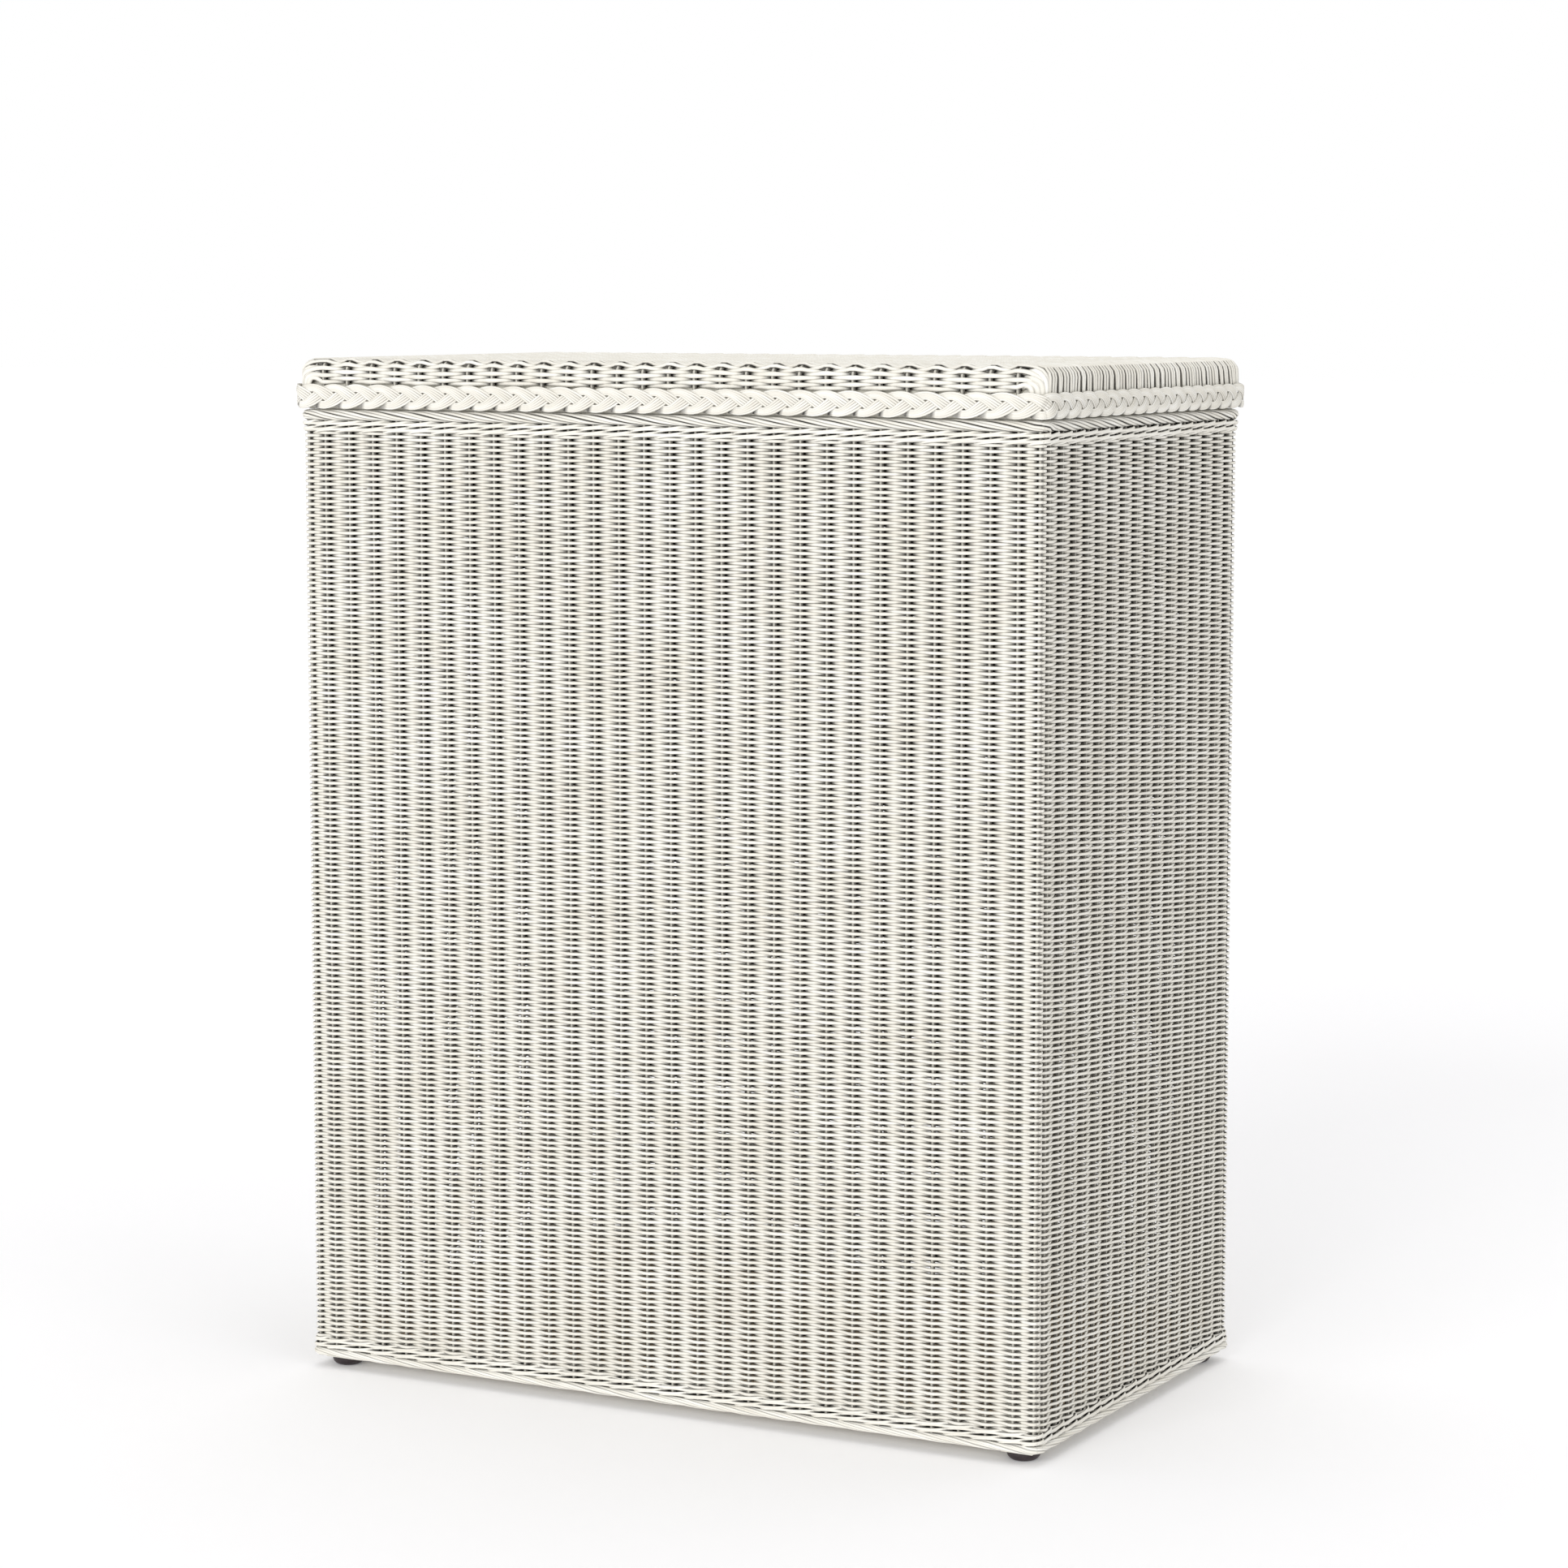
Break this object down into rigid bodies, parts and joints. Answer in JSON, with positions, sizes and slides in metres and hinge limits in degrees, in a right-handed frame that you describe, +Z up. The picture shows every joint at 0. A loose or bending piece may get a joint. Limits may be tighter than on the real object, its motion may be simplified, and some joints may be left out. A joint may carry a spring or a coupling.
{
  "type": "laundry basket",
  "caption": "Tall rectangular lidded laundry basket in off-white painted wicker, close plain weave, plaited lid edge, hinged lid and small round feet.",
  "frame": {"origin": "centre of the basket's footprint, on the floor that the feet stand on", "axes": "+Z up, -Y towards the front, +X to the right seen from the front; the lid's hinges are along the back edge, at +Y"},
  "size_m": [0.565, 0.329, 0.7],
  "materials": {
    "painted_wicker": "satin",
    "painted_rattan": "satin",
    "painted_wood": "satin",
    "plywood": "matte",
    "dowel_wood": "matte",
    "foot_plastic": "satin",
    "hinge_steel": "satin"
  },
  "bodies": {
    "body": {"post_front_left": "painted_wood", "post_front_right": "painted_wood", "post_back_left": "painted_wood", "post_back_right": "painted_wood", "top_rail_front": "painted_wood", "top_rail_back": "painted_wood", "top_rail_left": "painted_wood", "top_rail_right": "painted_wood", "bottom_rail_front": "painted_wood", "bottom_rail_back": "painted_wood", "bottom_rail_left": "painted_wood", "bottom_rail_right": "painted_wood", "base_panel": "plywood", "frame_dowels": "dowel_wood", "foot_front_left": "foot_plastic", "foot_front_right": "foot_plastic", "foot_back_left": "foot_plastic", "foot_back_right": "foot_plastic", "foot_screws": "hinge_steel", "stakes_front": "painted_rattan", "stakes_back": "painted_rattan", "stakes_left": "painted_rattan", "stakes_right": "painted_rattan", "stakes_corner": "painted_rattan", "weave_front": "painted_wicker", "weave_back": "painted_wicker", "weave_left": "painted_wicker", "weave_right": "painted_wicker", "top_border_front": "painted_wicker", "top_border_back": "painted_wicker", "top_border_left": "painted_wicker", "top_border_right": "painted_wicker", "bottom_border_front": "painted_wicker", "bottom_border_back": "painted_wicker", "bottom_border_left": "painted_wicker", "bottom_border_right": "painted_wicker", "hinge_left_body_leaf": "hinge_steel", "hinge_right_body_leaf": "hinge_steel", "hinge_left_pin": "hinge_steel", "hinge_right_pin": "hinge_steel", "hinge_screws_body": "hinge_steel"},
    "lid": {"lid_rail_front": "painted_wood", "lid_rail_back": "painted_wood", "lid_rail_left": "painted_wood", "lid_rail_right": "painted_wood", "lid_dowels": "dowel_wood", "lid_ribs": "painted_rattan", "lid_weave_top": "painted_wicker", "lid_skirt_front": "painted_wicker", "lid_skirt_back": "painted_wicker", "lid_skirt_left": "painted_wicker", "lid_skirt_right": "painted_wicker", "lid_braid_front": "painted_wicker", "lid_braid_back": "painted_wicker", "lid_braid_left": "painted_wicker", "lid_braid_right": "painted_wicker", "hinge_left_lid_leaf": "hinge_steel", "hinge_right_lid_leaf": "hinge_steel", "hinge_screws_lid": "hinge_steel"}
  },
  "joints": [
    {"name": "lid_hinge", "type": "hinge", "parent": "body", "child": "lid", "pos_m": [0, 0.162, 0.6655], "axis": [-1, 0, 0], "range_deg": [0, 100]}
  ]
}
